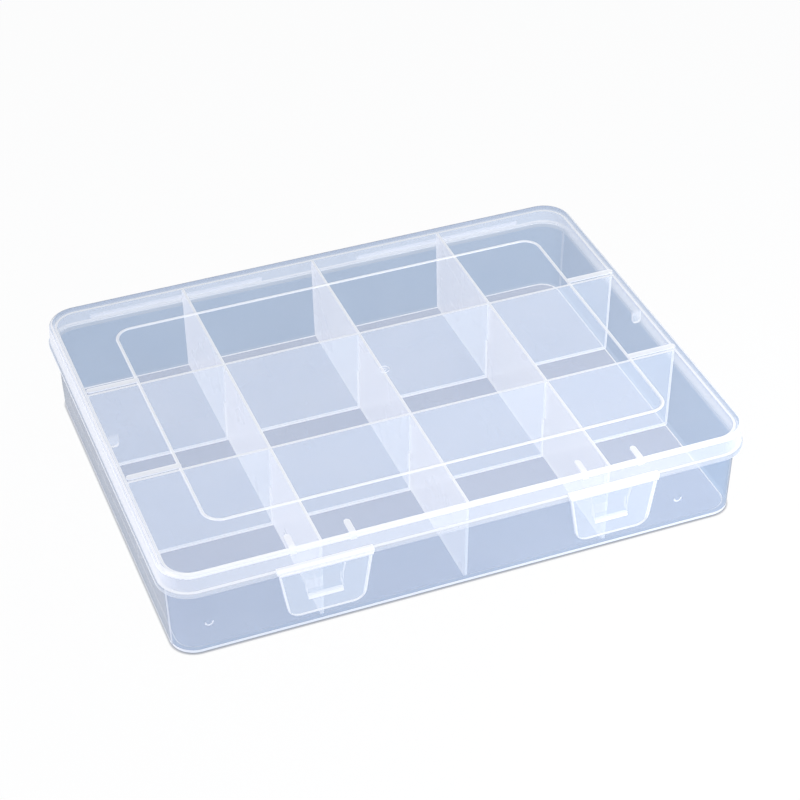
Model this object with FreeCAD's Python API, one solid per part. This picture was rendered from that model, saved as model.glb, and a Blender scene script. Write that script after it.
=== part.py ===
import FreeCAD, Part
import math
import os

from FreeCAD import Vector

# Clear storage box: a shallow tray split by five partitions, under a lid that folds back on two thin
# rear webs and is held by two front latches, each folding on a web of its own.
# Millimetres. Z is up, the front faces -Y, and the origin is the middle of the tray's underside.

# Tray
ledge_length = 270.0
ledge_width = 208.0
ledge_corner_radius = 15.0
ledge_top = 36.6
ledge_thickness = 1.8
ledge_edge_round = 0.4
rim_height = 8.4
rim_clearance = 1.1
neck_corner_step = 2.5
end_wall_taper = 0.9
front_wall_taper = 1.5
foot_corner_step = 1.5
tray_wall = 1.5
rim_lean = 0.3
floor_thickness = 1.6
outer_floor_radius = 0.8
inner_floor_radius = 1.2

# Partitions
partition_thickness = 1.4
column_pitch = 66.0
row_pitch = 66.6
lap_clearance = 0.1
lap_height_share = 0.5

# Lid
lid_wall = 1.5
lid_panel_gap = 0.5
lid_inset = 0.6
lid_lean = 0.5
lid_seat_gap = 0.3
lid_edge_radius = 2.4
lid_inner_edge_radius = 1.0
bead_end_border = 26.9
bead_front_border = 28.7
bead_corner_radius = 8.0
bead_section_radius = 0.8
bead_height = 0.6
lid_rib_width = 3.0
lid_rib_height = 0.7
lid_rib_end_setback = 3.2
nub_spacing = 26.4
nub_length = 9.3
nub_width = 2.8
nub_height = 0.6
nub_drop = 2.4
locating_rib_length = 4.2
locating_rib_thickness = 1.4
locating_rib_depth = 6.0
locating_rib_gap = 0.7
locating_rib_corner = 1.6
gate_dish_radius = 2.4
gate_dish_depth = 0.5
gate_pip_radius = 0.9
gate_pip_height = 0.35

# Rear hinge webs
hinge_end_setback = 24.0
hinge_middle_gap = 50.0
hinge_bar_height = 2.4
hinge_web_thickness = 0.4
hinge_web_inner_radius = 0.5
hinge_axis_stand_off = 0.3

# Front latches
latch_bar_length = 42.6
latch_bar_height = 2.1
latch_bar_round = 1.2
latch_fold_gap = 0.4
latch_web_thickness = 0.35
latch_web_inner_radius = 0.3
latch_axis_stand_off = 0.25
flap_thickness = 1.5
flap_ledge_gap = 0.3
flap_top_width = 41.4
flap_bottom_width = 33.8
flap_height = 24.5
flap_corner_radius = 6.0
flap_edge_round = 0.4
hook_width = 15.6
hook_reach = 1.8
hook_lip = 0.7
hook_height = 1.8
hook_drop = 16.2

# Catches on the tray's front
catch_width = 15.6
catch_height = 6.4
catch_hook_gap = 0.3
catch_flap_gap = 0.6
catch_ramp = 0.5
bracket_thickness = 1.4
bracket_top_width = 20.0
bracket_bottom_width = 16.4

# Round pips on the tray's front wall
pip_left_setback = 18.6
pip_right_setback = 34.8
pip_height_above_floor = 15.6
pip_radius = 2.0
pip_rise = 0.5

# One overrun for cuts, one sink for features that grow out of a wall, and the match for finding edges
cut_overrun = 2.0
sink_share = 0.5
edge_match = 1e-4

# Places worked out from the sizes above
ledge_bottom = ledge_top - ledge_thickness
ledge_front = -ledge_width / 2
ledge_rear = ledge_width / 2
ledge_overhang = lid_inset + lid_wall + rim_clearance
tray_neck_length = ledge_length - 2 * ledge_overhang
tray_neck_width = ledge_width - 2 * ledge_overhang
tray_neck_corner_radius = ledge_corner_radius - neck_corner_step
tray_bottom_length = tray_neck_length - 2 * end_wall_taper
tray_bottom_width = tray_neck_width - 2 * front_wall_taper
tray_bottom_corner_radius = tray_neck_corner_radius - foot_corner_step
tray_height = ledge_top + rim_height
lid_underside = tray_height + lid_panel_gap
lid_top = lid_underside + lid_wall
lid_bottom = ledge_top + lid_seat_gap
lid_bottom_length = ledge_length - 2 * lid_inset
lid_bottom_width = ledge_width - 2 * lid_inset
lid_top_length = lid_bottom_length - 2 * lid_lean
lid_top_width = lid_bottom_width - 2 * lid_lean
bead_length = lid_top_length - 2 * bead_end_border
bead_width = lid_top_width - 2 * bead_front_border
tray_sink = sink_share * tray_wall
lid_sink = sink_share * lid_wall
lap_level = floor_thickness + (tray_height - floor_thickness) * lap_height_share
column_places = {"left": -column_pitch, "centre": 0.0, "right": column_pitch}
row_places = {"front": -row_pitch / 2, "rear": row_pitch / 2}
side_signs = {"left": -1, "right": 1}
pip_places = (pip_left_setback - ledge_length / 2, ledge_length / 2 - pip_right_setback)
hinge_length = ledge_length / 2 - hinge_end_setback - hinge_middle_gap / 2
hinge_spacing = hinge_length + hinge_middle_gap
hinge_axis_y = ledge_rear + hinge_axis_stand_off
hinge_axis_z = ledge_top + lid_seat_gap / 2
latch_face = ledge_front - flap_ledge_gap - flap_thickness
latch_axis_y = latch_face - latch_axis_stand_off
bar_bottom = lid_bottom
latch_axis_z = bar_bottom - latch_fold_gap / 2
flap_top = latch_axis_z - latch_fold_gap / 2
flap_back = latch_face + flap_thickness
hook_top = flap_top - hook_drop
catch_bottom = hook_top + catch_hook_gap
catch_top = catch_bottom + catch_height
catch_face = flap_back + catch_flap_gap


def between(start, end, share):
    return start + (end - start) * share


def rounded_rectangle(length, width, radius, height):
    """Closed wire of four lines and four quarter arcs, centred on Z at this height."""
    x = length / 2
    y = width / 2
    bend = radius * (1 - math.sqrt(0.5))
    lines = [
        Part.LineSegment(Vector(radius - x, -y, height), Vector(x - radius, -y, height)),
        Part.LineSegment(Vector(x, radius - y, height), Vector(x, y - radius, height)),
        Part.LineSegment(Vector(x - radius, y, height), Vector(radius - x, y, height)),
        Part.LineSegment(Vector(-x, y - radius, height), Vector(-x, radius - y, height)),
    ]
    corners = [(x, -y), (x, y), (-x, y), (-x, -y)]
    edges = []
    for index, line in enumerate(lines):
        corner_x, corner_y = corners[index]
        middle_x = corner_x - math.copysign(bend, corner_x)
        middle_y = corner_y - math.copysign(bend, corner_y)
        following = lines[(index + 1) % len(lines)]
        arc = Part.Arc(line.EndPoint, Vector(middle_x, middle_y, height), following.StartPoint)
        edges.append(line.toShape())
        edges.append(arc.toShape())
    return Part.Wire(edges)


def drafted_block(lower, upper):
    """Solid between two rounded rectangles, each given as (length, width, radius, height)."""
    return Part.makeLoft([rounded_rectangle(*lower), rounded_rectangle(*upper)], True, True)


def section_at(lower, upper, height):
    """The rounded rectangle of a drafted block, carried on or cut off at another height."""
    share = (height - lower[3]) / (upper[3] - lower[3])
    return tuple(between(low, high, share) for low, high in zip(lower, upper))


def edges_at(shape, height):
    """The edges that lie flat at this height."""
    found = []
    for edge in shape.Edges:
        box = edge.BoundBox
        if abs(box.ZMin - height) < edge_match and abs(box.ZMax - height) < edge_match:
            found.append(edge)
    return found


def box_between(low, high):
    size = high - low
    return Part.makeBox(size.x, size.y, size.z, low)


def extruded_along_x(points, middle, length):
    """Prism along X, centred on middle, from (y, z) points in order."""
    start = middle - length / 2
    corners = [Vector(start, y, z) for y, z in points]
    face = Part.Face(Part.makePolygon(corners + corners[:1]))
    return face.extrude(Vector(length, 0, 0))


def rounded_bar(low, high, height):
    """Upright bar with round ends in plan, along the longer of its two sides."""
    size = high - low
    radius = min(size.x, size.y) / 2
    middle = (low + high) / 2
    bar = rounded_rectangle_block(size.x, size.y, radius, low.z, height)
    bar.translate(Vector(middle.x, middle.y, 0))
    return bar


def rounded_rectangle_block(length, width, radius, bottom, height):
    """Prism of a rectangle with rounded corners, which may be full half rounds."""
    x = length / 2
    y = width / 2
    block = box_between(Vector(-x, -y, bottom), Vector(x, y, bottom + height))
    upright = [edge for edge in block.Edges if abs(edge.BoundBox.ZLength - height) < edge_match]
    return block.makeFillet(radius * (1 - edge_match), upright)


def folding_web(middle, length, face, outward, axis_y, axis_z, inner_radius, thickness):
    """Thin folded web: two legs on a face at y = face, joined by a half round about the fold's axis."""
    outer_radius = inner_radius + thickness
    corners = {}
    for side in (-1, 1):
        for name, radius in (("inner", inner_radius), ("outer", outer_radius)):
            height = axis_z + side * radius
            corners[(name, side, "face")] = Vector(0, face, height)
            corners[(name, side, "axis")] = Vector(0, axis_y, height)

    def leg(name, side, start, end):
        return Part.LineSegment(corners[(name, side, start)], corners[(name, side, end)]).toShape()

    def half_round(name, radius, first_side):
        tip = Vector(0, axis_y + outward * radius, axis_z)
        start = corners[(name, first_side, "axis")]
        return Part.Arc(start, tip, corners[(name, -first_side, "axis")]).toShape()

    def seat(first, second, side):
        return Part.LineSegment(corners[(first, side, "face")], corners[(second, side, "face")]).toShape()

    outline = Part.Wire([
        leg("inner", 1, "face", "axis"),
        half_round("inner", inner_radius, 1),
        leg("inner", -1, "axis", "face"),
        seat("inner", "outer", -1),
        leg("outer", -1, "face", "axis"),
        half_round("outer", outer_radius, -1),
        leg("outer", 1, "axis", "face"),
        seat("outer", "inner", 1),
    ])
    web = Part.Face(outline).extrude(Vector(length, 0, 0))
    web.translate(Vector(middle - length / 2, 0, 0))
    return web


# The tray's sections, each as (length, width, corner radius, height)
outer_foot = (tray_bottom_length, tray_bottom_width, tray_bottom_corner_radius, 0.0)
outer_neck = (tray_neck_length, tray_neck_width, tray_neck_corner_radius, ledge_bottom)
inner_foot = (
    tray_bottom_length - 2 * tray_wall,
    tray_bottom_width - 2 * tray_wall,
    tray_bottom_corner_radius - tray_wall,
    floor_thickness,
)
inner_rim = (
    tray_neck_length - 2 * tray_wall,
    tray_neck_width - 2 * tray_wall,
    tray_neck_corner_radius - tray_wall,
    tray_height,
)
rim_top = (
    tray_neck_length - 2 * rim_lean,
    tray_neck_width - 2 * rim_lean,
    tray_neck_corner_radius - rim_lean,
    tray_height,
)


def tray_cavity(top):
    """The hollow of the tray up to this height, with its floor's edge rounded."""
    hollow = drafted_block(inner_foot, section_at(inner_foot, inner_rim, top))
    return hollow.makeFillet(inner_floor_radius, edges_at(hollow, floor_thickness))


def front_wall_face(height):
    """Y of the front wall's outside at a height below the ledge."""
    return -section_at(outer_foot, outer_neck, height)[1] / 2


def catch(place):
    """Wedge under the ledge for a latch to hook below, with the tapered bracket that carries it."""
    wall_root = front_wall_face(catch_bottom) + tray_sink
    wedge = extruded_along_x([
        (wall_root, catch_bottom),
        (catch_face, catch_bottom),
        (catch_face + catch_ramp, catch_top),
        (wall_root, catch_top),
    ], place, catch_width)
    back = catch_face + catch_ramp
    corners = [
        Vector(place - bracket_bottom_width / 2, back, catch_bottom + sink_share * catch_height),
        Vector(place + bracket_bottom_width / 2, back, catch_bottom + sink_share * catch_height),
        Vector(place + bracket_bottom_width / 2, back, catch_top),
        Vector(place + bracket_top_width / 2, back, ledge_bottom),
        Vector(place + bracket_top_width / 2, back, ledge_top - sink_share * ledge_thickness),
        Vector(place - bracket_top_width / 2, back, ledge_top - sink_share * ledge_thickness),
        Vector(place - bracket_top_width / 2, back, ledge_bottom),
        Vector(place - bracket_bottom_width / 2, back, catch_top),
    ]
    bracket = Part.Face(Part.makePolygon(corners + corners[:1])).extrude(Vector(0, bracket_thickness, 0))
    return wedge.fuse(bracket)


def front_pip(place):
    """Low round pip that stands out of the front wall."""
    height = floor_thickness + pip_height_above_floor
    face = front_wall_face(height)
    depth = pip_rise + tray_sink
    return Part.makeCylinder(pip_radius, depth, Vector(place, face - pip_rise, height), Vector(0, 1, 0))


def tray_shell():
    body = drafted_block(outer_foot, outer_neck)
    body = body.makeFillet(outer_floor_radius, edges_at(body, 0.0))
    ledge_plan = (ledge_length, ledge_width, ledge_corner_radius)
    ledge = drafted_block(ledge_plan + (ledge_bottom,), ledge_plan + (ledge_top,))
    ledge = ledge.makeFillet(ledge_edge_round, edges_at(ledge, ledge_bottom))
    rim_foot = (tray_neck_length, tray_neck_width, tray_neck_corner_radius, ledge_top)
    rim = drafted_block(rim_foot, rim_top)
    extras = [ledge, rim]
    for sign in side_signs.values():
        extras.append(catch(sign * column_pitch))
    for place in pip_places:
        extras.append(front_pip(place))
    shell = body.multiFuse(extras)
    return shell.cut(tray_cavity(tray_height + cut_overrun)).removeSplitter()


def column_wall(place, hollow):
    """Partition from front to back, open from the top where the row walls cross it."""
    half = partition_thickness / 2
    slab = box_between(Vector(place - half, ledge_front, 0), Vector(place + half, ledge_rear, tray_height))
    wall = slab.common(hollow)
    lap = half + lap_clearance
    for row in row_places.values():
        low = Vector(place - half - cut_overrun, row - lap, lap_level)
        high = Vector(place + half + cut_overrun, row + lap, tray_height + cut_overrun)
        wall = wall.cut(box_between(low, high))
    return wall


def row_wall(place, hollow):
    """Partition from left to right, open from below where it straddles the column walls."""
    half = partition_thickness / 2
    left = -ledge_length / 2
    slab = box_between(Vector(left, place - half, 0), Vector(-left, place + half, tray_height))
    wall = slab.common(hollow)
    lap = half + lap_clearance
    for column in column_places.values():
        low = Vector(column - lap, place - half - cut_overrun, 0)
        high = Vector(column + lap, place + half + cut_overrun, lap_level)
        wall = wall.cut(box_between(low, high))
    return wall


# The lid's outside sections, each as (length, width, corner radius, height)
lid_foot = (lid_bottom_length, lid_bottom_width, ledge_corner_radius - lid_inset, lid_bottom)
lid_crown = (lid_top_length, lid_top_width, ledge_corner_radius - lid_inset - lid_lean, lid_top)


def grown(section, growth, rise):
    """A section moved out by growth all round, and up by rise."""
    length, width, radius, height = section
    return (length + 2 * growth, width + 2 * growth, radius + growth, height + rise)


def lid_block(growth, bottom, edge_radius):
    """Solid in the lid's shape, grown all round and upwards, from this height up."""
    foot = grown(lid_foot, growth, 0)
    crown = grown(lid_crown, growth, growth)
    block = drafted_block(section_at(foot, crown, bottom), crown)
    return block.makeFillet(edge_radius, edges_at(block, lid_top + growth))


def lid_panel_and_skirt():
    outside = lid_block(0, lid_bottom, lid_edge_radius)
    inside = lid_block(-lid_wall, lid_bottom - cut_overrun, lid_inner_edge_radius)
    return outside.multiFuse(lid_nubs()).cut(inside)


def lid_bead():
    """Round bead that runs as a rectangle on top of the panel."""
    height = lid_top + bead_height - bead_section_radius
    path = rounded_rectangle(bead_length, bead_width, bead_corner_radius, height)
    start = Vector(bead_corner_radius - bead_length / 2, -bead_width / 2, height)
    section = Part.Wire(Part.makeCircle(bead_section_radius, start, Vector(1, 0, 0)))
    bead = path.makePipeShell([section], True, False)
    slice_low = Vector(-ledge_length, -ledge_width, lid_top - lid_sink)
    slice_high = Vector(ledge_length, ledge_width, lid_top + bead_section_radius)
    return bead.common(box_between(slice_low, slice_high))


def lid_ribs():
    """Four short flat ribs from the bead out to the lid's sides, over the row walls."""
    inner = bead_length / 2 - bead_section_radius
    outer = lid_top_length / 2 - lid_rib_end_setback
    half = lid_rib_width / 2
    ribs = []
    for sign in side_signs.values():
        for row in row_places.values():
            ends = sorted((sign * inner, sign * outer))
            low = Vector(ends[0], row - half, lid_top - lid_sink)
            high = Vector(ends[1], row + half, lid_top)
            ribs.append(rounded_bar(low, high, lid_sink + lid_rib_height))
    return ribs


def lid_nubs():
    """Two short nubs above each latch, which run over the panel's front edge and end on the skirt."""
    skin = lid_block(nub_height, lid_top - nub_drop, lid_edge_radius + nub_height)
    rear = nub_length - lid_top_width / 2
    half = nub_width / 2
    nubs = []
    for sign in side_signs.values():
        for side in side_signs.values():
            place = sign * column_pitch + side * nub_spacing / 2
            low = Vector(place - half, ledge_front - cut_overrun, lid_top - nub_drop)
            high = Vector(place + half, rear, lid_top + cut_overrun)
            nubs.append(rounded_bar(low, high, nub_drop + cut_overrun).common(skin))
    return nubs


def locating_ribs():
    """A rib under each side of the lid that drops just inside the tray's side wall."""
    outer = inner_rim[0] / 2 - locating_rib_gap
    half = locating_rib_thickness / 2
    ribs = []
    for sign in side_signs.values():
        ends = sorted((sign * outer, sign * (outer - locating_rib_length)))
        low = Vector(ends[0], -half, lid_underside - locating_rib_depth)
        high = Vector(ends[1], half, lid_underside + lid_sink)
        rib = box_between(low, high)
        free = [edge for edge in edges_at(rib, low.z) if edge.BoundBox.YLength > half]
        ribs.append(rib.makeFillet(locating_rib_corner, free))
    return ribs


def latch_bars():
    """The bars on the skirt that the latches fold from."""
    root = -lid_bottom_width / 2 + lid_lean + lid_sink
    half = latch_bar_length / 2
    bars = []
    for sign in side_signs.values():
        place = sign * column_pitch
        low = Vector(place - half, latch_face, bar_bottom)
        high = Vector(place + half, root, bar_bottom + latch_bar_height)
        bar = box_between(low, high)
        front = [edge for edge in edges_at(bar, high.z) if edge.BoundBox.YMax < latch_face + edge_match]
        bars.append(bar.makeFillet(latch_bar_round, front))
    return bars


def hinge_bars():
    """The low bars on the rear skirt that bring it out to the hinge webs."""
    root = lid_bottom_width / 2 - lid_lean - lid_sink
    half = hinge_length / 2
    bars = []
    for sign in side_signs.values():
        place = sign * hinge_spacing / 2
        low = Vector(place - half, root, lid_bottom)
        high = Vector(place + half, ledge_rear, lid_bottom + hinge_bar_height)
        bar = box_between(low, high)
        rear = [edge for edge in edges_at(bar, high.z) if edge.BoundBox.YMin > ledge_rear - edge_match]
        bars.append(bar.makeFillet(lid_inset, rear))
    return bars


def lid_shell():
    shell = lid_panel_and_skirt()
    extras = [lid_bead()] + lid_ribs() + locating_ribs() + latch_bars() + hinge_bars()
    shell = shell.multiFuse(extras)
    dish_floor = Vector(0, 0, lid_top - gate_dish_depth)
    dish = Part.makeCylinder(gate_dish_radius, gate_dish_depth + cut_overrun, dish_floor)
    pip = Part.makeCylinder(gate_pip_radius, lid_sink + gate_pip_height, dish_floor - Vector(0, 0, lid_sink))
    return shell.cut(dish).fuse(pip).removeSplitter()


def latch(place):
    """Flap with rounded lower corners, and the hook rib across its back."""
    bottom = flap_top - flap_height
    corners = [
        Vector(place - flap_top_width / 2, latch_face, flap_top),
        Vector(place + flap_top_width / 2, latch_face, flap_top),
        Vector(place + flap_bottom_width / 2, latch_face, bottom),
        Vector(place - flap_bottom_width / 2, latch_face, bottom),
    ]
    flap = Part.Face(Part.makePolygon(corners + corners[:1])).extrude(Vector(0, flap_thickness, 0))
    lower = [edge for edge in flap.Edges
             if edge.BoundBox.ZMax < bottom + edge_match and edge.BoundBox.XLength < edge_match]
    flap = flap.makeFillet(flap_corner_radius, lower)
    front = [edge for edge in flap.Edges
             if edge.BoundBox.YMax < latch_face + edge_match and edge.BoundBox.ZMin < flap_top - edge_match]
    flap = flap.makeFillet(flap_edge_round, front)
    hook = extruded_along_x([
        (flap_back - sink_share * flap_thickness, hook_top),
        (flap_back + hook_reach, hook_top),
        (flap_back + hook_reach, hook_top - hook_lip),
        (flap_back, hook_top - hook_height),
        (flap_back - sink_share * flap_thickness, hook_top - hook_height),
    ], place, hook_width)
    return flap.fuse(hook).removeSplitter()


parts = {"tray_shell": tray_shell(), "lid_shell": lid_shell()}
tray_hollow = tray_cavity(tray_height)
for side, place in column_places.items():
    parts["column_wall_" + side] = column_wall(place, tray_hollow)
for side, place in row_places.items():
    parts["row_wall_" + side] = row_wall(place, tray_hollow)
for side, sign in side_signs.items():
    parts["latch_" + side] = latch(sign * column_pitch)
    parts["rear_hinge_web_" + side] = folding_web(
        sign * hinge_spacing / 2, hinge_length, ledge_rear, 1,
        hinge_axis_y, hinge_axis_z, hinge_web_inner_radius, hinge_web_thickness)
    parts["latch_hinge_web_" + side] = folding_web(
        sign * column_pitch, flap_top_width, latch_face, -1,
        latch_axis_y, latch_axis_z, latch_web_inner_radius, latch_web_thickness)

os.makedirs("parts", exist_ok=True)
for name, shape in parts.items():
    shape.exportStep("parts/" + name + ".step")
    print(name, "solids", len(shape.Solids), "valid", shape.isValid(), "volume", round(shape.Volume, 1))
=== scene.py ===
import bmesh
import bpy
import math
from mathutils import Matrix, Vector


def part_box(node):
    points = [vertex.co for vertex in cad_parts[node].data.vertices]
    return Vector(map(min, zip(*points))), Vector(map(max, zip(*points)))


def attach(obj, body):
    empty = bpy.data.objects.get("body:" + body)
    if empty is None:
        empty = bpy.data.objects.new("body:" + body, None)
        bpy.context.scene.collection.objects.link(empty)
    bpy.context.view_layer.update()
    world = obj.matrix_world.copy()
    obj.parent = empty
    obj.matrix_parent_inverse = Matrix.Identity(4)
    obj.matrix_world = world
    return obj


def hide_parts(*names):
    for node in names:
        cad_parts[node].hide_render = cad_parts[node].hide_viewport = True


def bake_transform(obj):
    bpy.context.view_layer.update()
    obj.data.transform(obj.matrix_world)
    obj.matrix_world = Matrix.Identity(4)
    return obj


# Clear storage box: tray, partitions, lid and latches of milky polypropylene, seen on white.
# Metres. Same frame as the solids: Z is up, the front faces -Y.

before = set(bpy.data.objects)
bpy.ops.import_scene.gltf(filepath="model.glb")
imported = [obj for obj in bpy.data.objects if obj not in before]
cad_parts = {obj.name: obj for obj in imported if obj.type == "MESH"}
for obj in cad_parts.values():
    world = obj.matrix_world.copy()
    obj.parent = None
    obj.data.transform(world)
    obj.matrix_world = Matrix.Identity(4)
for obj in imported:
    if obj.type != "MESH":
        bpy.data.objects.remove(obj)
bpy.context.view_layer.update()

MM = 0.001
X, Y = 0, 1

# Where the main surfaces lie, read from the solids
tray_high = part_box("tray_shell")[1]
lid_low, lid_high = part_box("lid_shell")
column_places = [sum(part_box("column_wall_" + side), Vector()).x / 2 for side in ("left", "centre", "right")]

# Tray sizes that the solids' boxes don't give
floor_thickness = 1.6 * MM
front_wall_taper = 1.5 * MM
ledge_top = 36.6 * MM
ledge_thickness = 1.8 * MM
ledge_edge_round = 0.4 * MM
ledge_overhang = 3.2 * MM
catch_reach = 12.0 * MM
pip_places = (-116.4 * MM, 100.2 * MM)
pip_middle = 17.2 * MM
pip_radius = 2.0 * MM
pip_face_radius = 1.25 * MM
pip_cut_reach = 4.4 * MM
pip_rim_turns = [math.radians(turn) for turn in (-165, -130, -90, -50, -15)]

# Lid and latch sizes
lid_rib_height = 0.7 * MM
lid_edge_radius = 2.4 * MM
skirt_drop = 1.6 * MM
gate_radius = 2.4 * MM
latch_place = 66.0 * MM
latch_bar_inset = 0.3 * MM
hinge_bar_inset = 0.5 * MM
hinge_bar_height = 2.5 * MM
side_tab_thickness = 1.4 * MM
side_tab_drop = 2.0 * MM
nub_spacing = 26.4 * MM
nub_width = 2.8 * MM
nub_length = 9.3 * MM
nub_round = 1.2 * MM
nub_drop = 2.4 * MM
flap_thickness = 1.5 * MM
rear_web_thickness = 0.4 * MM
latch_web_thickness = 0.35 * MM
fold_steps = 14

# Widths of the white lines along edges, ends and seams
bottom_line = 1.9 * MM
foot_line = 0.9 * MM
row_end_line = 0.4 * MM
column_end_line = 2.6 * MM
flap_edge_line = 0.9 * MM
seam_reach = 1.4 * MM

# Where a plate's leaning end is measured, down from its top and up from its foot
end_top_band = 1.0 * MM
end_foot_band = 8.0 * MM

# Closeness
seat_gap = 0.04 * MM
weld_distance = 0.002 * MM
level_match = 0.06 * MM
smooth_angle = math.radians(35)

# How much of a face's normal lies along an axis: 1 square to it, 0 alongside
level_from = 0.97
square_from = 0.9
sideways_from = 0.7
leaning_from = 0.2
upright_below = 0.3
ledge_round_from = 0.15
lid_round_from = 0.05
# Facets of the lid's rounded edge: painted shade on the rear ones, painted highlight lines on the lower ones
# and at the top of the sides
lid_rear_shade_from = 0.3
lid_front_from = 0.05
lid_highlight_below = 0.45
lid_side_highlight_from = 0.78
lid_front_band_below = 0.9

# Turn, away from the front or back, of the facet on each upright corner of the tray that takes a painted
# glint in whiter plastic
painted_glint_turns = math.radians(73.6), math.radians(81.8)

lid_top = lid_high.z - lid_rib_height
ledge_bottom = ledge_top - ledge_thickness
neck_x = tray_high.x - ledge_overhang
neck_y = tray_high.y - ledge_overhang
lap_level = (floor_thickness + tray_high.z) / 2


# Node helpers

def new_material(name):
    material = bpy.data.materials.new(name)
    material.use_nodes = True
    tree = material.node_tree
    tree.nodes.clear()
    output = tree.nodes.new("ShaderNodeOutputMaterial")
    return material, tree, output


def add(tree, kind, **settings):
    node = tree.nodes.new(kind)
    for name, value in settings.items():
        setattr(node, name, value)
    return node


def value_of(tree, socket, source):
    """Sets a socket from a plain value, or links it to another socket."""
    if isinstance(source, bpy.types.NodeSocket):
        tree.links.new(source, socket)
    else:
        socket.default_value = source


def calculate(tree, operation, first, second=0.0, third=0.0, clamp=False):
    node = add(tree, "ShaderNodeMath", operation=operation, use_clamp=clamp)
    for socket, source in zip(node.inputs, (first, second, third)):
        value_of(tree, socket, source)
    return node.outputs[0]


def raised(tree, value, bounds):
    """0 below the bounds, 1 above them, and a soft step between."""
    node = add(tree, "ShaderNodeMapRange", interpolation_type="SMOOTHSTEP")
    for socket, source in zip(node.inputs, (value, *bounds, 0.0, 1.0)):
        value_of(tree, socket, source)
    return node.outputs[0]


def mix_colours(tree, share, first, second):
    node = add(tree, "ShaderNodeMix", data_type="RGBA")
    factor = node.inputs[0]
    colours = [socket for socket in node.inputs if socket.type == "RGBA"]
    for socket, source in zip((factor, *colours), (share, first, second)):
        value_of(tree, socket, source)
    return [socket for socket in node.outputs if socket.type == "RGBA"][0]


def noise(tree, vector, size, detail):
    node = add(tree, "ShaderNodeTexNoise")
    tree.links.new(vector, node.inputs["Vector"])
    node.inputs["Scale"].default_value = 1 / size
    node.inputs["Detail"].default_value = detail
    return node.outputs["Fac"]


def stretched(tree, vector, scale):
    node = add(tree, "ShaderNodeMapping")
    tree.links.new(vector, node.inputs["Vector"])
    node.inputs["Scale"].default_value = scale
    return node.outputs[0]


# Marks that every moulded surface of the box carries

cloud_size = 38 * MM
streak_size = 7 * MM
peel_size = 1.3 * MM
scuff_size = 0.9 * MM
streak_stretch = (1.0, 0.12, 0.12)
scuff_stretch = (1.0, 0.06, 0.4)
haze_bounds = (0.3, 0.7)
scuff_bounds = (0.62, 0.74)


def moulded_surface_group():
    """Haze in soft clouds, flow streaks from the gate, fine orange peel, and scuffs from handling."""
    group = bpy.data.node_groups.new("moulded surface", "ShaderNodeTree")
    group.interface.new_socket("Vector", in_out="INPUT", socket_type="NodeSocketVector")
    vector = add(group, "NodeGroupInput").outputs["Vector"]
    along_flow = stretched(group, vector, streak_stretch)
    along_scuffs = stretched(group, vector, scuff_stretch)
    marks = {
        "Clouds": raised(group, noise(group, vector, cloud_size, detail=2.0), haze_bounds),
        "Streaks": raised(group, noise(group, along_flow, streak_size, detail=0.5), haze_bounds),
        "Relief": noise(group, vector, peel_size, detail=2.0),
        "Scuffs": raised(group, noise(group, along_scuffs, scuff_size, detail=3.0), scuff_bounds),
    }
    for name in marks:
        group.interface.new_socket(name, in_out="OUTPUT", socket_type="NodeSocketFloat")
    out = add(group, "NodeGroupOutput")
    for name, socket in marks.items():
        group.links.new(socket, out.inputs[name])
    return group


moulded_surface = moulded_surface_group()


# Milky polypropylene

# Painted sheen: plastics turn to this white when seen along the surface, a painted reflection
painted_glancing_white = (0.95, 0.96, 1.0, 1)
plastic_ior = 1.49
streak_share = 0.2
blotch_share = 0.7
painted_glancing_power = 3.0
scuff_roughness = 0.06
cloud_roughness = 0.05
least_facing = 0.06
held_back_share = 0.08
peel_strength = 0.03
peel_height = 0.05 * MM


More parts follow.
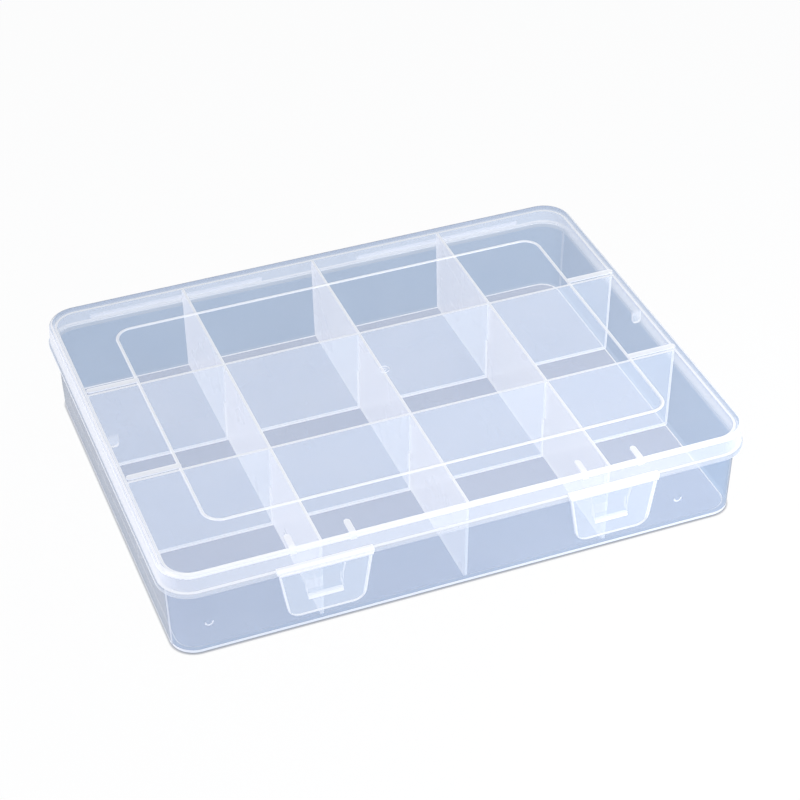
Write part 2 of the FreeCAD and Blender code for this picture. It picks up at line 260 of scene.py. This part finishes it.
def clear_plastic(name, colour, cloud_colour, clearness, haze, gloss, aslant=painted_glancing_white, behind=1.0):
    """Milky see-through plastic.

    clearness is what one surface shows of what is behind it when seen square on, haze what its clouds take
    from that, gloss its least roughness, and behind the share of its milk that shows from the back of the
    surface. The colour that it takes when seen along the surface is painted: white by default, a painted
    sheen, and darker where given so, a painted shade. Only a small share of the milk holds back the light
    that falls into the box.
    """
    material, tree, output = new_material(name)
    shader = add(tree, "ShaderNodeBsdfPrincipled")
    tree.links.new(shader.outputs[0], output.inputs["Surface"])
    shader.inputs["IOR"].default_value = plastic_ior
    marks = add(tree, "ShaderNodeGroup", node_tree=moulded_surface)
    tree.links.new(add(tree, "ShaderNodeTexCoord").outputs["Object"], marks.inputs["Vector"])
    slant = add(tree, "ShaderNodeLayerWeight").outputs["Facing"]

    clouds = marks.outputs["Clouds"]
    blotch = calculate(tree, "MULTIPLY_ADD", marks.outputs["Streaks"], streak_share, clouds)
    blotch = calculate(tree, "MULTIPLY", blotch, blotch_share, clamp=True)
    body_colour = mix_colours(tree, blotch, colour, cloud_colour)
    # Painted glancing colour: painted sheen, or painted shade where the glancing colour is darker, laid over
    # the body colour as the surface turns away
    painted_glancing_share = calculate(tree, "POWER", slant, painted_glancing_power)
    value_of(tree, shader.inputs["Base Color"], mix_colours(tree, painted_glancing_share, body_colour, aslant))

    rough = calculate(tree, "MULTIPLY_ADD", marks.outputs["Scuffs"], scuff_roughness, gloss)
    rough = calculate(tree, "MULTIPLY_ADD", clouds, cloud_roughness, rough)
    value_of(tree, shader.inputs["Roughness"], rough)

    facing = calculate(tree, "MAXIMUM", calculate(tree, "SUBTRACT", 1.0, slant), least_facing)
    through = calculate(tree, "POWER", clearness, calculate(tree, "DIVIDE", 1.0, facing))
    through = calculate(tree, "MULTIPLY", through, calculate(tree, "MULTIPLY_ADD", blotch, -haze, 1.0))
    milk = calculate(tree, "SUBTRACT", 1.0, through, clamp=True)
    if behind < 1.0:
        from_behind = add(tree, "ShaderNodeNewGeometry").outputs["Backfacing"]
        shown = calculate(tree, "MULTIPLY_ADD", from_behind, behind - 1.0, 1.0)
        milk = calculate(tree, "MULTIPLY", milk, shown)
    ray = add(tree, "ShaderNodeLightPath")
    looked_at = calculate(tree, "MAXIMUM", ray.outputs["Is Camera Ray"], ray.outputs["Is Glossy Ray"])
    held_back = calculate(tree, "MULTIPLY_ADD", looked_at, 1.0 - held_back_share, held_back_share)
    value_of(tree, shader.inputs["Alpha"], calculate(tree, "MULTIPLY", milk, held_back))

    peel = add(tree, "ShaderNodeBump")
    peel.inputs["Strength"].default_value = peel_strength
    peel.inputs["Distance"].default_value = peel_height
    tree.links.new(marks.outputs["Relief"], peel.inputs["Height"])
    tree.links.new(peel.outputs[0], shader.inputs["Normal"])
    return material


# The tray walls darken when seen along them: painted shade and painted dark reflection, darkest on the
# outside, below the ledge
wall_plastic = clear_plastic(
    "tray wall plastic", colour=(0.56, 0.65, 0.78, 1), cloud_colour=(0.60, 0.69, 0.81, 1),
    clearness=0.92, haze=0.03, gloss=0.16, aslant=(0.50, 0.54, 0.66, 1))
outer_wall_plastic = clear_plastic(
    "tray outside plastic", colour=(0.52, 0.62, 0.75, 1), cloud_colour=(0.56, 0.66, 0.78, 1),
    clearness=0.83, haze=0.03, gloss=0.16, aslant=(0.05, 0.06, 0.11, 1))
floor_plastic = clear_plastic(
    "tray floor plastic", colour=(0.60, 0.61, 0.72, 1), cloud_colour=(0.64, 0.65, 0.75, 1),
    clearness=0.78, haze=0.03, gloss=0.2)
# The column partitions are whiter than the row partitions, though the same plastic: painted light, for the
# light scattered through them
painted_light_column_plastic = clear_plastic(
    "column partition plastic", colour=(0.98, 0.97, 1.0, 1), cloud_colour=(1.0, 0.99, 1.0, 1),
    clearness=0.68, haze=0.02, gloss=0.26)
row_plastic = clear_plastic(
    "row partition plastic", colour=(0.83, 0.90, 1.0, 1), cloud_colour=(0.87, 0.92, 1.0, 1),
    clearness=0.82, haze=0.02, gloss=0.26)
lid_plastic = clear_plastic(
    "lid plastic", colour=(0.78, 0.84, 0.94, 1), cloud_colour=(0.84, 0.88, 0.96, 1),
    clearness=0.95, haze=0.02, gloss=0.12)
skirt_plastic = clear_plastic(
    "lid skirt plastic", colour=(0.96, 0.97, 1.0, 1), cloud_colour=(0.98, 0.98, 1.0, 1),
    clearness=0.82, haze=0.03, gloss=0.12)
# Painted shade: a darker plastic on the rear facets of the lid's rounded edge, standing in for its dark
# reflection
painted_shade_edge_plastic = clear_plastic(
    "rear edge painted shade plastic", colour=(0.62, 0.66, 0.76, 1), cloud_colour=(0.66, 0.70, 0.79, 1),
    clearness=0.50, haze=0.03, gloss=0.14, aslant=(0.16, 0.18, 0.25, 1))
latch_plastic = clear_plastic(
    "latch plastic", colour=(0.92, 0.96, 1.0, 1), cloud_colour=(0.95, 0.97, 1.0, 1),
    clearness=0.82, haze=0.03, gloss=0.16)
rib_plastic = clear_plastic(
    "rib plastic", colour=(0.97, 0.97, 1.0, 1), cloud_colour=(1.0, 1.0, 1.0, 1),
    clearness=0.35, haze=0.03, gloss=0.14)
edge_plastic = clear_plastic(
    "edge plastic", colour=(0.97, 0.97, 1.0, 1), cloud_colour=(1.0, 1.0, 1.0, 1),
    clearness=0.15, haze=0.03, gloss=0.14)
foot_plastic = clear_plastic(
    "foot edge plastic", colour=(0.97, 0.97, 1.0, 1), cloud_colour=(1.0, 1.0, 1.0, 1),
    clearness=0.10, haze=0.03, gloss=0.14, behind=0.14)
web_plastic = clear_plastic(
    "web plastic", colour=(0.93, 0.93, 1.0, 1), cloud_colour=(0.97, 0.97, 1.0, 1),
    clearness=0.4, haze=0.05, gloss=0.22)


# Mouldings: copies of the solids, welded, with their narrow edges in whiter plastic

def finished_piece(name, form, materials):
    """Makes a form an object, smooth except across its sharp edges, with its plastics."""
    for face in form.faces:
        face.smooth = True
    for edge in form.edges:
        edge.smooth = edge.is_manifold and edge.calc_face_angle() < smooth_angle
    mesh = bpy.data.meshes.new(name)
    form.to_mesh(mesh)
    form.free()
    for material in materials:
        mesh.materials.append(material)
    # The solids' stored normals would hide the smoothing set above
    solids_normals = mesh.attributes.get("custom_normal")
    if solids_normals:
        mesh.attributes.remove(solids_normals)
    piece = bpy.data.objects.new(name, mesh)
    bpy.context.scene.collection.objects.link(piece)
    even_shading = piece.modifiers.new("even shading", "WEIGHTED_NORMAL")
    even_shading.keep_sharp = True
    return piece


def welded_copy(node):
    """A solid's mesh, with its loose triangles joined."""
    form = bmesh.new()
    form.from_mesh(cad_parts[node].data)
    bmesh.ops.remove_doubles(form, verts=form.verts, dist=weld_distance)
    return form


def draw_in(form, node, gap):
    """Brings a form in by a hair all round, off the faces that it stands on."""
    low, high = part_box(node)
    middle = (low + high) / 2
    shares = [1 - 2 * gap / size for size in high - low]
    bmesh.ops.scale(form, vec=shares, space=Matrix.Translation(-middle), verts=form.verts)


def cut(form, point, normal, reach=math.inf):
    """Parts the faces that lie within reach of a point, along a plane through it."""
    faces = [face for face in form.faces if all((vert.co - point).length < reach for vert in face.verts)]
    edges = dict.fromkeys(edge for face in faces for edge in face.edges)
    verts = dict.fromkeys(vert for face in faces for vert in face.verts)
    bmesh.ops.bisect_plane(form, geom=[*verts, *edges, *faces], dist=weld_distance,
                           plane_co=point, plane_no=normal)


def along_foot(width):
    """A line along the foot of a form: a plane at that height, facing up."""
    def plane(form):
        foot = min(vert.co.z for vert in form.verts)
        return Vector((0, 0, foot + width)), Vector((0, 0, 1))
    return plane


def along_end(axis, side, width):
    """A line along a plate's leaning end: a plane that far in from the end, facing the plate's middle."""
    def endmost(places):
        return max(places, key=lambda place: side * place[axis])

    def plane(form):
        foot = min(vert.co.z for vert in form.verts)
        top = max(vert.co.z for vert in form.verts)
        upper = endmost(vert.co for vert in form.verts if vert.co.z > top - end_top_band)
        lower = endmost(vert.co for vert in form.verts if vert.co.z < foot + end_foot_band)
        lean = upper - lower
        inward = Vector((0, 0, side * lean[axis]))
        inward[axis] = -side * lean.z
        inward.normalize()
        return upper + width * inward, inward
    return plane


def moulding(name, node, body, choose, gap=0.0,
             lines=(), lined=(), line_finish=edge_plastic, cuts=()):
    """A solid's copy, with the plastic of each face chosen from its middle and its normal.

    Between a line and the end that it runs along, faces of the lined plastics take the line's finish.
    """
    form = welded_copy(node)
    draw_in(form, node, gap)
    planes = [line(form) for line in lines]
    for place in (*planes, *cuts):
        cut(form, *place)
    form.normal_update()
    finishes = []
    for face in form.faces:
        middle = face.calc_center_median()
        finish = choose(middle, face.normal)
        if finish in lined and any((middle - point).dot(inward) < 0 for point, inward in planes):
            finish = line_finish
        if finish not in finishes:
            finishes.append(finish)
        face.material_index = finishes.index(finish)
    piece = finished_piece(name, form, finishes)
    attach(piece, body)
    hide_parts(node)


# Tray

def front_wall(height):
    """Where the leaning front wall's outside lies at a height."""
    return -neck_y + front_wall_taper * (1 - height / ledge_bottom)


def pip_highlight_cuts():
    """Cuts that part the lower rim of each pip on the front, which takes a painted highlight, from its round
    face.
    """
    for place in pip_places:
        pip = Vector((place, front_wall(pip_middle), pip_middle))
        for turn in pip_rim_turns:
            away = Vector((math.cos(turn), 0, math.sin(turn)))
            yield pip + pip_face_radius * away, away, pip_cut_reach


def on_a_pip_highlight(middle):
    """Whether a place lies on the painted highlight along the lower rim of one of the two pips."""
    across = min((middle.x - place for place in pip_places), key=abs)
    up = middle.z - pip_middle
    if up > 0 or math.hypot(across, up) > pip_radius + level_match:
        return False
    return any(across * math.cos(turn) + up * math.sin(turn) > pip_face_radius for turn in pip_rim_turns)


def on_a_catch(middle):
    """Whether a place lies on one of the two catches, in front of the wall."""
    in_front = middle.y < front_wall(middle.z) - level_match
    return in_front and middle.z < ledge_bottom and abs(abs(middle.x) - latch_place) < catch_reach


def on_a_painted_glint(normal):
    """Whether an upright facet has the turn of the painted glint on the tray's corners."""
    turn = math.atan2(abs(normal.x), abs(normal.y))
    return painted_glint_turns[0] < turn < painted_glint_turns[1] and abs(normal.z) < upright_below


def tray_finish(middle, normal):
    level = abs(normal.z)
    outward = normal.x * middle.x + normal.y * middle.y > 0
    if middle.z > tray_high.z - level_match:
        return edge_plastic
    if middle.z < floor_thickness + level_match and level > level_from:
        return floor_plastic
    on_ledge = ledge_bottom - level_match < middle.z < ledge_top + level_match
    if on_ledge and (outward or level > square_from):
        at_foot = middle.z < ledge_bottom + ledge_edge_round
        return edge_plastic if at_foot and ledge_round_from < level < level_from else skirt_plastic
    if on_a_catch(middle):
        return edge_plastic if abs(normal.x) > sideways_from else wall_plastic
    if not outward:
        return wall_plastic
    # White plastic on the pips' lower rims is a painted highlight
    if on_a_pip_highlight(middle) and normal.y < -square_from:
        return edge_plastic
    # Whiter skirt plastic on the chosen corner facets is a painted glint
    return skirt_plastic if middle.z > ledge_top or on_a_painted_glint(normal) else outer_wall_plastic


# Lid

def on_a_nub(middle, normal):
    """Whether a face is an outer face of one of the nubs over the lid's front edge."""
    beside_latch = abs(abs(middle.x) - latch_place)
    in_plan = abs(beside_latch - nub_spacing / 2) < nub_width / 2 + level_match
    in_depth = middle.y < nub_length - tray_high.y + nub_round
    in_height = middle.z > lid_top - nub_drop - level_match
    outward = normal.z > leaning_from or normal.y < -leaning_from or abs(normal.x) > sideways_from
    at_foot = normal.z < -square_from and middle.z < lid_top - nub_drop + level_match
    return in_plan and in_depth and in_height and (outward or at_foot)


def rounded_edge_painted_light(normal):
    """Painted shade at the rear, a painted highlight line at the foot, and a second one at the top of the
    sides.
    """
    if normal.y > lid_rear_shade_from:
        return painted_shade_edge_plastic
    if normal.z < lid_highlight_below:
        return edge_plastic
    if abs(normal.x) > leaning_from and normal.y > -lid_front_from:
        return edge_plastic if normal.z > lid_side_highlight_from else skirt_plastic
    return rib_plastic if normal.z < lid_front_band_below else lid_plastic


def lid_finish(middle, normal):
    level = abs(normal.z)
    if on_a_nub(middle, normal) or middle.z > lid_top + level_match:
        return rib_plastic
    if math.hypot(middle.x, middle.y) < gate_radius + level_match:
        return edge_plastic if level < square_from else lid_plastic
    if middle.z < lid_low.z + level_match or middle.y < -tray_high.y + latch_bar_inset:
        return edge_plastic
    if middle.y > tray_high.y - hinge_bar_inset and middle.z < lid_low.z + hinge_bar_height:
        return web_plastic
    on_side_tab = abs(middle.y) < side_tab_thickness and abs(middle.x) < neck_x
    if on_side_tab and middle.z < lid_top - side_tab_drop:
        return skirt_plastic if abs(normal.y) > square_from else edge_plastic
    if middle.z > lid_top - lid_edge_radius and lid_round_from < normal.z < level_from:
        return rounded_edge_painted_light(normal)
    return skirt_plastic if level < level_from and middle.z < lid_top - skirt_drop else lid_plastic


# Partitions and latches

def plate_finish(side_plastic, thin_axis, crossings=()):
    """The plate's two sides, its white edges, and its seams beside the plates that cross its lower half."""
    def choose(middle, normal):
        seam = middle.z < lap_level and any(abs(middle.x - place) < seam_reach for place in crossings)
        return edge_plastic if seam or abs(normal[thin_axis]) < square_from else side_plastic
    return choose


def seam_cuts():
    """Cuts on both sides of each column partition, where a row partition crosses it."""
    for place in column_places:
        for side in (-1, 1):
            yield Vector((place + side * seam_reach, 0, 0)), Vector((1, 0, 0))


def latch_finish(node):
    """Front and back of the flap, its white edges, and the hook behind it."""
    flap_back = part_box(node)[0].y + flap_thickness

    def choose(middle, normal):
        if abs(normal.y) < square_from:
            return edge_plastic
        return wall_plastic if middle.y > flap_back + level_match else latch_plastic
    return choose


moulding("tray", node="tray_shell", body="tray", choose=tray_finish,
         lines=(along_foot(bottom_line),), lined=(wall_plastic, outer_wall_plastic),
         line_finish=foot_plastic, cuts=pip_highlight_cuts())
moulding("lid", node="lid_shell", body="lid", choose=lid_finish)
for side in ("left", "centre", "right"):
    moulding("column_partition_" + side, node="column_wall_" + side, body="tray",
             choose=plate_finish(painted_light_column_plastic, thin_axis=X), gap=seat_gap,
             lines=(along_end(Y, -1, column_end_line),), lined=(painted_light_column_plastic,))
for side in ("front", "rear"):
    moulding("row_partition_" + side, node="row_wall_" + side, body="tray",
             choose=plate_finish(row_plastic, thin_axis=Y, crossings=column_places), gap=seat_gap,
             lines=(along_foot(foot_line), along_end(X, -1, row_end_line), along_end(X, 1, row_end_line)),
             lined=(row_plastic,), cuts=seam_cuts())
for side in ("left", "right"):
    moulding("latch_flap_" + side, node="latch_" + side, body="latch_" + side,
             choose=latch_finish("latch_" + side),
             lines=(along_end(X, -1, flap_edge_line), along_end(X, 1, flap_edge_line)),
             lined=(latch_plastic, wall_plastic))


# Folding webs: a strip bent round the fold's axis

def folding_web(name, node, outward, thickness):
    """Bends a strip half round, with a straight leg at each end.

    outward is 1 for a fold that bulges to the rear, and -1 for one that bulges to the front.
    """
    low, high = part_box(node)
    outer_radius = (high.z - low.z) / 2 - weld_distance
    axis_z = (high.z + low.z) / 2
    axis_y = high.y - outer_radius if outward > 0 else low.y + outer_radius
    face_y = low.y if outward > 0 else high.y
    axis = Vector((low.x, axis_y, axis_z))
    form = bmesh.new()
    start = form.verts.new(axis + Vector((0, 0, -outer_radius)))
    turned = bmesh.ops.spin(form, geom=[start], cent=axis, axis=(1, 0, 0), dvec=(0, 0, 0),
                            angle=math.pi * outward, steps=fold_steps, use_duplicate=False)
    last = [item for item in turned["geom_last"] if isinstance(item, bmesh.types.BMVert)][0]
    for end in (start, last):
        leg = bmesh.ops.extrude_vert_indiv(form, verts=[end])["verts"]
        bmesh.ops.translate(form, verts=leg, vec=(0, face_y - axis_y, 0))
    strip = bmesh.ops.extrude_edge_only(form, edges=form.edges[:])["geom"]
    across = [item for item in strip if isinstance(item, bmesh.types.BMVert)]
    bmesh.ops.translate(form, verts=across, vec=(high.x - low.x, 0, 0))
    bmesh.ops.recalc_face_normals(form, faces=form.faces)
    bmesh.ops.solidify(form, geom=form.faces[:], thickness=thickness)
    bmesh.ops.recalc_face_normals(form, faces=form.faces)
    piece = finished_piece(name, form, (web_plastic,))
    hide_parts(node)
    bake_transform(piece)


for side in ("left", "right"):
    folding_web("rear_fold_" + side, node="rear_hinge_web_" + side, outward=1,
                thickness=rear_web_thickness)
    folding_web("latch_fold_" + side, node="latch_hinge_web_" + side, outward=-1,
                thickness=latch_web_thickness)


# Stage: pale floor, even studio light, and the camera where the photograph was taken

floor_reach = 4.0
floor_drop = 0.3 * MM
# Painted shade: the floor is darker and bluer where it is seen through the box
floor_shade_under_box = (0.42, 0.52, 0.68, 1)
floor_in_the_open = (0.95, 0.95, 0.95, 1)
floor_white_share = 0.93
contact_reach = 1.2 * MM
contact_power = 2.0
contact_shade = (0.25, 0.27, 0.33, 1)
white = (1, 1, 1, 1)


def backdrop_share(tree, path):
    """1 for rays that look at the backdrop, straight or by way of gloss and glass."""
    seen = calculate(tree, "MAXIMUM", path.outputs["Is Camera Ray"], path.outputs["Is Glossy Ray"])
    return calculate(tree, "MAXIMUM", seen, path.outputs["Is Transmission Ray"])


def pale_floor_material():
    """White where it lies open, with a thin contact shade, and darker and bluer where it shows through the
    box, a painted shade.
    """
    material, tree, output = new_material("pale floor")
    path = add(tree, "ShaderNodeLightPath")
    nothing_before_it = calculate(tree, "LESS_THAN", path.outputs["Transparent Depth"], 1.0)
    in_the_open = calculate(tree, "MULTIPLY", backdrop_share(tree, path), nothing_before_it)
    lit = add(tree, "ShaderNodeBsdfDiffuse")
    value_of(tree, lit.inputs["Color"], mix_colours(tree, in_the_open, floor_shade_under_box, floor_in_the_open))
    contact = add(tree, "ShaderNodeAmbientOcclusion", samples=8)
    contact.inputs["Distance"].default_value = contact_reach
    clear_of_box = calculate(tree, "POWER", contact.outputs["AO"], contact_power)
    glow = add(tree, "ShaderNodeEmission")
    value_of(tree, glow.inputs["Color"], mix_colours(tree, clear_of_box, contact_shade, white))
    blend = add(tree, "ShaderNodeMixShader")
    value_of(tree, blend.inputs[0], calculate(tree, "MULTIPLY", in_the_open, floor_white_share))
    tree.links.new(lit.outputs[0], blend.inputs[1])
    tree.links.new(glow.outputs[0], blend.inputs[2])
    tree.links.new(blend.outputs[0], output.inputs["Surface"])
    return material


def floor():
    form = bmesh.new()
    bmesh.ops.create_grid(form, x_segments=1, y_segments=1, size=floor_reach)
    bmesh.ops.translate(form, verts=form.verts, vec=(0, 0, -floor_drop))
    mesh = bpy.data.meshes.new("floor")
    form.to_mesh(mesh)
    form.free()
    mesh.materials.append(pale_floor_material())
    plane = bpy.data.objects.new("floor", mesh)
    bpy.context.scene.collection.objects.link(plane)


def studio_world(level, colour):
    """Even light from all round, with white for what looks at the backdrop."""
    world = bpy.data.worlds.new("studio")
    world.use_nodes = True
    tree = world.node_tree
    tree.nodes.clear()
    light = add(tree, "ShaderNodeBackground")
    light.inputs["Color"].default_value = colour
    light.inputs["Strength"].default_value = level
    backdrop = add(tree, "ShaderNodeBackground")
    backdrop.inputs["Color"].default_value = white
    blend = add(tree, "ShaderNodeMixShader")
    value_of(tree, blend.inputs[0], backdrop_share(tree, add(tree, "ShaderNodeLightPath")))
    tree.links.new(light.outputs[0], blend.inputs[1])
    tree.links.new(backdrop.outputs[0], blend.inputs[2])
    tree.links.new(blend.outputs[0], add(tree, "ShaderNodeOutputWorld").inputs["Surface"])
    bpy.context.scene.world = world


def soft_lamp(name, place, size, power, colour):
    """A round lamp that faces the box."""
    lamp = bpy.data.lights.new(name, "AREA")
    lamp.shape = "DISK"
    lamp.size = size
    lamp.energy = power
    lamp.color = colour
    thing = bpy.data.objects.new(name, lamp)
    bpy.context.scene.collection.objects.link(thing)
    thing.location = place
    thing.rotation_mode = "QUATERNION"
    thing.rotation_quaternion = (-Vector(place)).to_track_quat("-Z", "Y")


def photo_camera():
    """The camera, placed by a fit to the straight edges of the photographed box."""
    azimuth = math.radians(-20.75)
    elevation = math.radians(37.065)
    roll = math.radians(-0.686)
    distance = 1.03158
    slide_right = 0.006728
    slide_up = 0.023336
    back = Vector((math.sin(azimuth) * math.cos(elevation),
                   -math.cos(azimuth) * math.cos(elevation),
                   math.sin(elevation)))
    level_right = Vector((0, 0, 1)).cross(back).normalized()
    level_up = back.cross(level_right)
    right = math.cos(roll) * level_right + math.sin(roll) * level_up
    up = math.cos(roll) * level_up - math.sin(roll) * level_right
    lens = bpy.data.cameras.new("camera")
    lens.sensor_width = 36.0
    lens.lens = 99.118
    lens.clip_start = 0.05
    camera = bpy.data.objects.new("camera", lens)
    bpy.context.scene.collection.objects.link(camera)
    camera.location = distance * back + slide_right * right + slide_up * up
    camera.rotation_mode = "QUATERNION"
    camera.rotation_quaternion = Matrix((right, up, back)).transposed().to_quaternion()
    bpy.context.scene.camera = camera


floor()
studio_world(level=0.52, colour=(0.88, 0.94, 1.0, 1))
soft_lamp("key", place=(0.35, -0.45, 0.35), size=0.4, power=2.7, colour=(0.98, 0.98, 1.0))
soft_lamp("fill", place=(-1.3, -0.4, 0.5), size=0.9, power=10.5, colour=(1.0, 0.95, 0.97))
photo_camera()
bpy.context.scene.view_settings.view_transform = "Standard"
bpy.context.scene.cycles.transparent_max_bounces = 64
